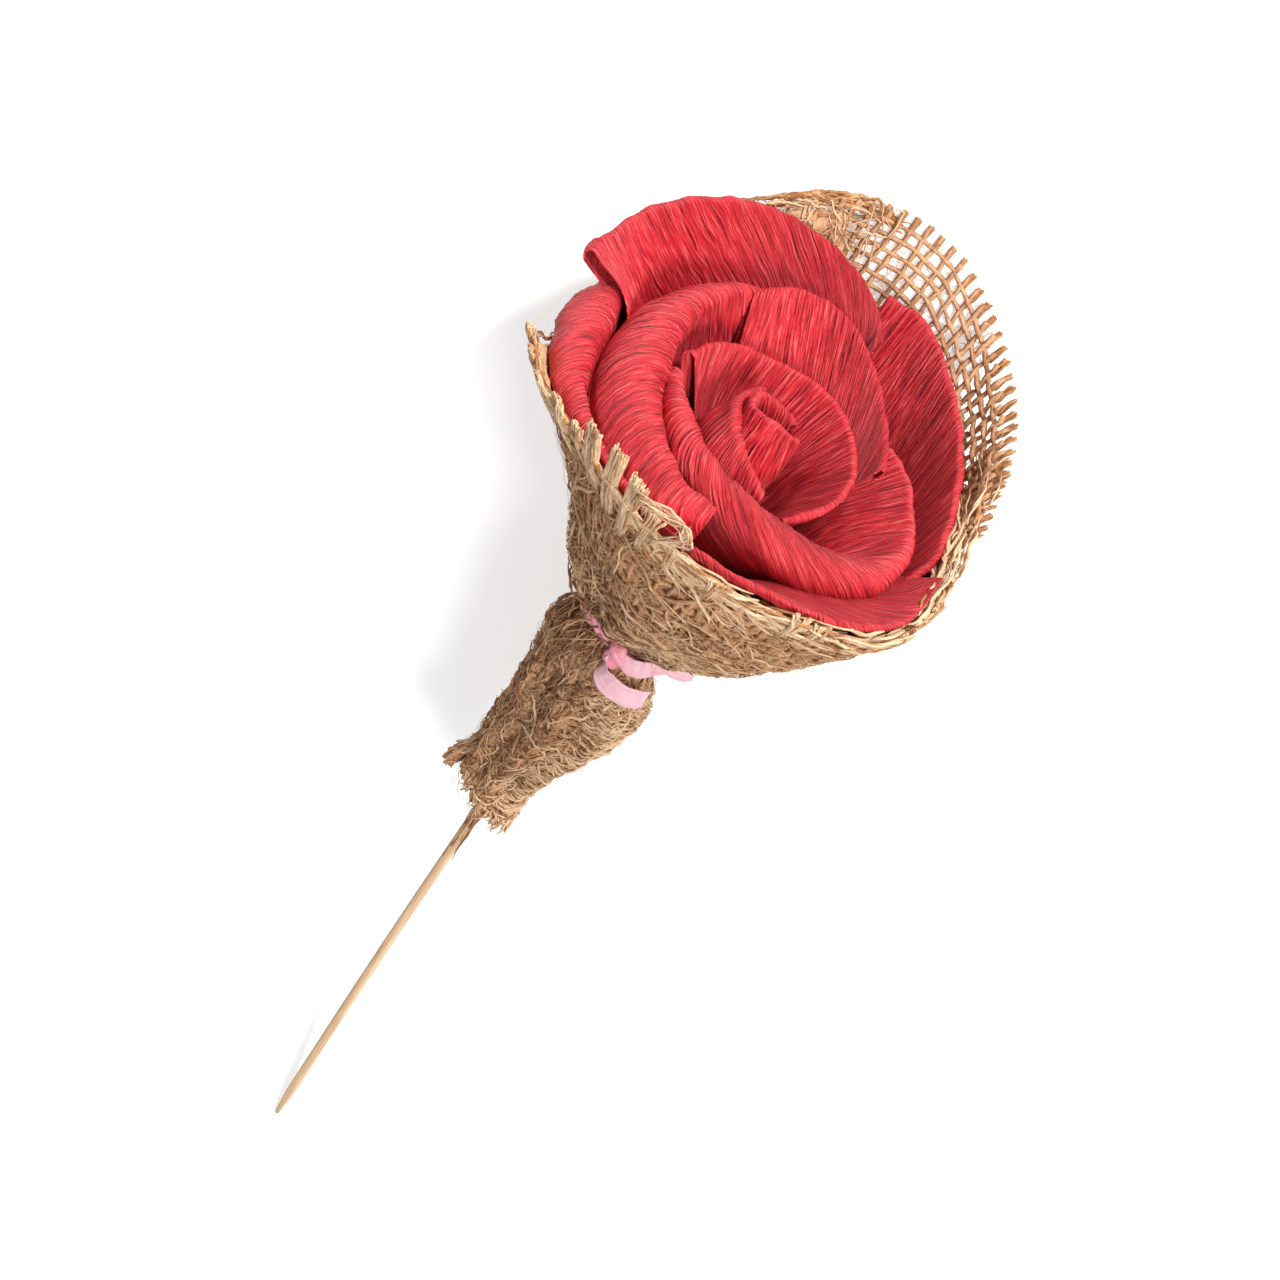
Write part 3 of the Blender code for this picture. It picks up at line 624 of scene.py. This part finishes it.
def inward(path, near, far):
    """A path moved toward the stick by so many mm."""
    path[:, :2] *= 1 - dice.uniform(near, far) / np.linalg.norm(path[:, :2], axis=1, keepdims=True)
    return path


# All over the outside, more on the near side.
for _ in range(2000):
    turn = dice.uniform(-80, 110) if dice.random() < 0.72 else dice.uniform(110, 280)
    top = rim(turn)[1] - (22 if 100 < turn < 206 else 1.5)
    h = -55 + tilt(-58, turn) + (top + 55) * dice.random()
    tail_right = h < 2 and 10 < turn < 150
    tail_left = h < 6 and not tail_right
    shares = [0.65, 0.1, 0.25] if tail_right else [0.2, 0.5, 0.3] if tail_left else [0.5, 0.15, 0.35]
    tone = dice.choice(["pale", "brown", "yarn"], p=shares)
    if h > 8:
        heading = dice.normal() * 30 + (-25 if turn > 10 else 55) + (180 if dice.random() < 0.5 else 0)
    else:
        heading = dice.normal() * 24 if tail_right else 90 + dice.normal() * 28
    thick = dice.choice([0.09, 0.15, 0.24, 0.36], p=[0.35, 0.3, 0.22, 0.13])
    path = stray(turn, h, heading, dice.uniform(8, 26) * (0.5 if h < 0 else 1.0), dice.uniform(0.1, 0.8), 9)
    fibres[tone].append((wander(path, 0.9, 4.0, dice.random() * 50), thick * TAPER, False))
# Along the cut edge in front, half of them pushed in over the bloom.
for _ in range(330):
    turn = dice.uniform(-62, 112)
    path = stray(turn, rim(turn)[1] - dice.uniform(-0.4, 3.6), dice.normal() * 9, dice.uniform(9, 20), 0.6, 6)
    if turn > -6 and dice.random() < 0.55:
        path = inward(path, 0.6, 3.6)
    lay(path, "pale", 0.75, "rust", 0.8, 4.0, 0.2, 0.5)
# Along the rolled edge at the far side, and down its inside.
for _ in range(110):
    turn = dice.uniform(184, 246)
    path = stray(turn, hem(turn) + dice.uniform(-1.6, 1.3), dice.normal() * 7, dice.uniform(7, 15), 0.4, 6)
    lay(path, "rust", 0.6, "yarn", 0.9, 3.0, 0.2, 0.46)
for _ in range(130):
    turn = dice.uniform(186, 240)
    path = stray(turn, rim(turn)[1] - dice.uniform(0.5, 17), dice.choice([0, 90]) + dice.normal() * 16,
                 dice.uniform(5, 12), 0.2, 9)
    path = inward(path, 1.4, 2.6)
    tone = dice.choice(["yarn", "pale"])
    fibres[tone].append((wander(path, 0.4, 3.0, dice.random() * 50), dice.uniform(0.1, 0.3) * TAPER, False))
# On the right of the tail, where it is paler.
for _ in range(520):
    turn, h = dice.uniform(5, 150), dice.uniform(-56, 0)
    path = stray(turn, h + float(tilt(h, turn)), dice.normal() * 26, dice.uniform(4, 9),
                 dice.uniform(0.2, 0.7), 10)
    lay(path, "pale", 0.85, "brown", 0.7, 3.0, 0.16, 0.38)
# Hair-thin ones across the holes of the open weave.
for _ in range(330):
    turn = dice.uniform(96, 206)
    path = stray(turn, rim(turn)[1] - dice.uniform(3, 24), dice.uniform(0, 180), dice.uniform(3, 9), 0.2, 16)
    path = wander(path, 0.6, 2.0, dice.random() * 50)
    fibres["pale"].append((path, dice.uniform(0.04, 0.10) * TAPER, False))
# Over the ribbon at the back of the neck.
for _ in range(70):
    turn = dice.uniform(256, 338)
    path = stray(turn, float(lean(0, turn)) + dice.uniform(-13, 4), 90 + dice.normal() * 22,
                 dice.uniform(9, 17), dice.uniform(1.3, 2.2), 6)
    lay(path, "brown", 0.5, "yarn", 0.7, 4.0, 0.12, 0.3)


# Ends of the tail: a flap folded out on the left, a frayed edge on the right, and strands that cling to the
# stick.
for _ in range(80):
    turn, h = dice.uniform(264, 296), dice.uniform(-54, -47)
    foot = cloth(turn, h, 0.3)
    tip = np.array([4.0 + dice.uniform(-2.4, 2.0), -13.4 + dice.uniform(-1.6, 1.4),
                    -55 + dice.uniform(-2.4, 2.6)])
    s = np.linspace(0, 1, 10)[:, None]
    path = foot + (tip - foot) * s + np.array([1.2, -0.8, 0]) * np.sin(s * math.pi)
    lay(path, "yarn", 0.6, "pale", 0.9, 3.0, 0.25, 0.5)
for _ in range(120):
    turn = dice.uniform(-40, 200)
    h = -56 + float(tilt(-58, turn))
    path = stray(turn, h, 270 + dice.normal() * 22, dice.uniform(3, 7), 0.2, 9)
    lay(path, "pale", 0.6, "yarn", 0.9, 3.0, 0.12, 0.34)
for k in range(46):
    a, far = dice.uniform(0, 2 * math.pi), dice.uniform(-82, -66) if k < 40 else -86
    s = np.linspace(0, 1, 10)[:, None]
    foot = np.array([4.4 * math.cos(a), -0.9 + 4.4 * math.sin(a), -54])
    tip = np.array([1.5 * math.cos(a), -4 - 0.0489 * far + 1.5 * math.sin(a), far])
    path = foot + (tip - foot) * s - np.array([math.cos(a), math.sin(a), 0]) * 1.6 * np.sin(s * math.pi)
    fibres["brown" if k % 3 == 0 else "yarn"].append(
        (wander(path, 0.7, 5.0, dice.random() * 50), dice.uniform(0.12, 0.3) * TAPER, False))


def tuft(turn, below, above, splay, spread, count, wide, tones=("pale", "yarn")):
    """An untwisted yarn end: fibres from below the edge, splayed out past it by so many degrees."""
    top, a = rim(turn)[1], math.radians(turn)
    foot, edge = cloth(turn, top - below, 1.0), cloth(turn, top - 0.5, 1.2)
    out, side = np.array([math.cos(a), math.sin(a), 0]), np.array([-math.sin(a), math.cos(a), 0])
    past = np.array([0, 0, 1.0]) * math.cos(math.radians(splay)) + out * math.sin(math.radians(splay))
    s = np.linspace(0, 1, 9)[:, None]
    for _ in range(count):
        x, y, reach = dice.uniform(-1, 1), dice.uniform(-0.6, 0.6), above * dice.uniform(0.8, 1.05)
        path = foot + (edge - foot) * np.minimum(1, 2 * s) + past * reach * np.maximum(0, 2 * s - 1)
        path = path + side * x * wide * (0.6 + spread * s ** 2) + out * y * 0.8
        fibres[tones[0] if dice.random() < 0.7 else tones[1]].append(
            (wander(path, 0.5, 3.0, dice.random() * 50),
             dice.uniform(0.2, 0.4) * np.array([0.5, 0.9, 1, 1, 1, 1, 1, 0.95, 0.8]), False))


for turn, below, above, splay, spread, count, wide in (
        (299, 9, 2.5, 30, 0.1, 26, 1.3), (304, 11, 2.5, 40, 0.2, 30, 1.9), (310, 10, 3.0, 40, 0.2, 30, 2.0),
        (317, 9, 5.0, 30, 0.3, 50, 2.3), (323, 8, 5.0, 28, 0.4, 30, 1.6), (328.5, 10, 11, 26, 0.1, 84, 3.2),
        (336.5, 10, 12, 22, 0.1, 76, 2.6), (344, 10, 9.5, 16, 0.7, 50, 2.0), (351, 8, 5.0, 10, 0.8, 24, 1.8),
        (0, 6, 2.0, 10, 1.2, 12, 1.4), (12, 6, 1.6, 10, 1.0, 10, 1.4), (33, 6, 3.4, 0, 0.9, 22, 1.6),
        (38, 6, 2.4, 0, 1.0, 12, 1.4), (58, 5, 1.4, 0, 1.0, 10, 1.4), (72, 5, 1.2, 0, 1.0, 8, 1.4)):
    tuft(turn, below, above, splay, spread, count, wide)
for turn in 99 + np.arange(WARPS) * 360 / WARPS:
    if 94 < turn < 206:
        tuft(turn, 3.6, 0.5 + 1.6 * smooth((176 - turn) / 30), 30, 0.45, 5 if turn < 112 else 9, 0.7,
             ("rust", "yarn"))

# The loop beside the large tufts: strands that rise past the edge and fall back, in turn, height past the
# edge and lift.
LOOP = np.array([(345, 2, 0.5), (348, 6.5, 1.0), (354, 8, 0.6), (359, 7, 0.6), (360, 4, 1.0), (357, 1, 1.2),
                 (353, -2, 1.0)])
for _ in range(20):
    lifted = LOOP + dice.normal(size=LOOP.shape) * np.array([1.4, 0.9, 0.5])
    first, last = (0, 0.62) if dice.random() < 0.5 else (0.5, 1)
    turn, above, off = spline(lifted, np.linspace(first, last, 12)).T
    path = wander(cloth(turn, rim(turn)[1] + above, off), 0.6, 3.0, dice.random() * 50)
    radii = dice.uniform(0.15, 0.32) * np.interp(np.arange(12), [0, 2, 9, 11], [0.5, 1, 1, 0.5])
    fibres["pale"].append((path, radii, False))
for tone, material in (("pale", pale_jute), ("brown", brown_jute), ("yarn", yarn_jute), ("rust", rust_jute)):
    strands("burlap_fibres_" + tone, fibres[tone], material)

hairs = []
for _ in range(2000):
    turn, share = dice.random() * 360, dice.random() ** 0.8
    h = -62 + (rim(turn)[1] + 62) * share
    steps = np.linspace(0, 1, 5)
    line = cloth(turn + steps * dice.normal() * 14 * min(2.2, 30 / max(float(funnel(h, turn)[0]), 4)),
                 np.minimum(h + steps * dice.normal() * 7, rim(turn)[1] - 1.0),
                 0.3 + dice.uniform(0.3, 2.0) * np.sin(steps * math.pi * dice.uniform(0.5, 1.0)))
    seed = dice.random() * 50
    radii = dice.uniform(0.03, 0.07) * (1.15 - steps * 0.6)
    hairs.append((wander(line, 1.2, 4.0, seed), radii, False))
strands("burlap_fuzz", hairs, pale_jute)


# Ribbon: 6 mm pink satin tied once round the neck and knotted at the front, with two short free ends. It is
# drawn tight into the gathers, so it is narrow and creased at the knot and opens flat toward its ends.
def over(level, turn, lift):
    """A point lift mm out from the wrap's pleats, by its level above the tie and its turn."""
    level, a = np.asarray(level, float), np.radians(turn)
    h = level + lean(level, np.asarray(turn, float))
    r, side, deep = funnel(h, turn)
    r = r + 0.6 * deep + lift + 1.4
    return np.stack([r * np.cos(a), side + r * np.sin(a), h], -1)


def tape(name, rows, count, material):
    """A ribbon through rows of (level, turn, lift, half-width, twist in degrees), creased across."""
    level, turn, lift, half, twist = spline(rows, np.linspace(0, 1, count)).T
    centre = over(level, turn, lift)
    along = np.gradient(centre, axis=0)
    along /= np.linalg.norm(along, axis=1, keepdims=True)
    side = np.array([0, 0, 1.0]) - along * along[:, 2:3]
    side /= np.linalg.norm(side, axis=1, keepdims=True)
    out = np.cross(side, along)
    a = np.radians(twist)[:, None]
    side, out = side * np.cos(a) + out * np.sin(a), out * np.cos(a) - side * np.sin(a)
    band = bmesh.new()
    weft = band.loops.layers.uv.new("satin")
    bmesh.ops.create_grid(band, x_segments=count - 1, y_segments=14, size=0.5, calc_uvs=True)
    for vert in band.verts:
        i, y = round((vert.co.x + 0.5) * (count - 1)), vert.co.y * 2
        crease = 0.25 * math.sin(i * 0.5 + 4 * y) * (1 - half[i] / 3.3)
        crease += 0.12 * noise.noise(Vector((i / 6, y * 1.5, 4)))
        vert.co = lying(centre[i] + side[i] * y * half[i] + out[i] * (crease - 0.25 * y * y))
    for face in band.faces:
        face.smooth = True
    mesh = bpy.data.meshes.new(name)
    band.to_mesh(mesh)
    band.free()
    piece = bpy.data.objects.new(name, mesh)
    bpy.context.scene.collection.objects.link(piece)
    thick = piece.modifiers.new("ribbon", "SOLIDIFY")
    thick.thickness, thick.offset = 0.25 * MM, 0
    mesh.materials.append(material)
    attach(piece, "root")
    return piece


def pink_satin(name, dark, light):
    """Woven satin: fine lines along the ribbon, with streaks of sheen."""
    material, shader, here = finish(name, Roughness=0.34)
    shader.inputs["Sheen Weight"].default_value = 0.2
    weft = here.add("ShaderNodeUVMap", {"uv_map": "satin"})
    lines = weft.add("ShaderNodeTexWave", {"bands_direction": "X"},
                     {"Vector": weft, "Scale": 40.0, "Distortion": 0.6})
    streak = weft.add("ShaderNodeTexNoise", {}, {"Vector": weft.add("ShaderNodeMapping", {}, {
        "Vector": weft, "Scale": (3, 30, 1)}), "Scale": 1.0, "Detail": 3.0})
    bump = weft.add("ShaderNodeBump", {},
                    {"Height": lines * 0.4 + streak * 0.6, "Distance": 0.0001, "Strength": 0.5})
    # The lighter streaks of the colour are painted sheen.
    wear(shader, Base_Color=streak.between(0.3, 0.7).mix((*dark, 1), (*light, 1)), Normal=bump)
    return material


satin, deep_satin = (pink_satin("satin_pink", (0.84, 0.42, 0.49), (0.96, 0.60, 0.66)),
                     pink_satin("satin_deep", (0.84, 0.27, 0.36), (0.94, 0.42, 0.50)))
loop_rows = [(0, 16 + 360 * k / 24, 0.35, 1.2 if k % 24 else 1.0, 0) for k in range(25)]
tie = tape("ribbon_band", loop_rows, 241, deep_satin)
tape("ribbon_tail_one", [(-1.5, 15, 1.4, 1.2, 0), (-2.8, 9, 2.2, 1.9, 0), (-4.6, 11, 2.6, 2.6, 0),
                         (-5.6, 19, 2.6, 2.8, 0), (-5.9, 31, 2.6, 2.8, 0), (-5.6, 45, 3.0, 2.8, 6),
                         (-4.7, 58, 3.8, 2.4, 10)], 90, satin)
tape("ribbon_tail_two", [(-0.4, 14, 1.4, 1.4, 0), (0.2, 28, 2.6, 2.3, 0), (1.0, 41, 2.6, 2.8, 0),
                         (3.0, 52, 2.2, 2.4, 0), (4.6, 61, 1.8, 1.3, 0), (6.2, 70, 1.9, 2.5, 0),
                         (7.8, 80, 2.4, 2.8, 0)], 90, satin)
knot = bmesh.new()
bmesh.ops.create_icosphere(knot, subdivisions=4, radius=1)
at = over(-0.6, 13.0, 1.8)
for vert in knot.verts:
    c = vert.co.copy()
    fold = 1 + 0.16 * math.sin(6 * c.y + 2.5 * c.x) + 0.12 * noise.noise(c * 2.2)
    vert.co = lying(at + np.array([c.z * 1.9, c.x * 2.5, c.y * 3.3]) * fold)
bmesh.ops.recalc_face_normals(knot, faces=knot.faces)
for face in knot.faces:
    face.smooth = True
knot_mesh = bpy.data.meshes.new("ribbon_knot")
knot.to_mesh(knot_mesh)
knot.free()
knot_piece = bpy.data.objects.new("ribbon_knot", knot_mesh)
bpy.context.scene.collection.objects.link(knot_piece)
knot_mesh.materials.append(deep_satin)
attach(knot_piece, "root")
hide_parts("ribbon_tie")


# Stem: a 250 x 2.5 mm bamboo skewer, split and rounded along the grain, with a short blunt taper at its free
# end. It runs from the middle of the bloom out through the tail and passes the tie a little off centre.
stem = bmesh.new()
grain_map = stem.loops.layers.uv.new("grain")
bmesh.ops.create_circle(stem, segments=20, radius=1)
ends = stem.edges[:]
levels = np.concatenate([[-207, -206.8, -206.2, -203, -199.5, -196], np.linspace(-190, 43, 60)])
for _ in levels[1:]:
    moved = bmesh.ops.extrude_edge_only(stem, edges=ends)["geom"]
    ends = [part for part in moved if isinstance(part, bmesh.types.BMEdge)]
    ring = [part for part in moved if isinstance(part, bmesh.types.BMVert)]
    bmesh.ops.translate(stem, verts=ring, vec=(0, 0, 1))
bmesh.ops.holes_fill(stem, edges=[edge for edge in stem.edges if edge.is_boundary])
for face in stem.faces:
    face.smooth = len(face.verts) == 4
    for loop in face.loops:
        x, y, z = loop.vert.co
        loop[grain_map].uv = (math.atan2(y, x) * 1.25, levels[round(z)])
for vert in stem.verts:
    a, h = math.atan2(vert.co.y, vert.co.x), levels[round(vert.co.z)]
    r = float(np.interp(h, [-207, -206.8, -206.2, -196], [0.2, 0.5, 0.68, 1.25]))
    r *= 1 + 0.03 * math.sin(5 * a) + 0.03 * noise.noise(Vector((math.cos(a), math.sin(a), h / 40)))
    bow = 0.45 * math.sin((h + 60) / 147 * math.pi) if h < -60 else 0.0
    vert.co = lying(np.array([r * math.cos(a), -4 - 0.0489 * h + bow + r * math.sin(a), h]), 0.02)
bmesh.ops.recalc_face_normals(stem, faces=stem.faces)
stem_mesh = bpy.data.meshes.new("skewer_stem")
stem.to_mesh(stem_mesh)
stem.free()
skewer = bpy.data.objects.new("skewer_stem", stem_mesh)
bpy.context.scene.collection.objects.link(skewer)
bamboo, shader, here = finish("bamboo_raw", Roughness=0.55)
grain_uv = here.add("ShaderNodeUVMap", {"uv_map": "grain"})
fine_grain = here.add("ShaderNodeTexNoise", {}, {"Vector": here.add("ShaderNodeMapping", {}, {
    "Vector": grain_uv, "Scale": (6, 0.12, 1)}), "Scale": 1.0, "Detail": 4.0, "Roughness": 0.65})
stain = here.add("ShaderNodeTexNoise", {}, {"Vector": here.add("ShaderNodeMapping", {}, {
    "Vector": grain_uv, "Scale": (0.6, 0.03, 1)}), "Scale": 1.0, "Detail": 2.0})
wood = (fine_grain * 0.7 + stain * 0.4 - 0.05).between(0.3, 0.72)
wood = wood.mix((0.56, 0.33, 0.165, 1), (0.92, 0.66, 0.41, 1))
bump = here.add("ShaderNodeBump", {}, {"Height": fine_grain, "Distance": 0.0002, "Strength": 0.7})
wear(shader, Base_Color=wood, Normal=bump)
stem_mesh.materials.append(bamboo)
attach(skewer, "root")
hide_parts("bamboo_skewer")
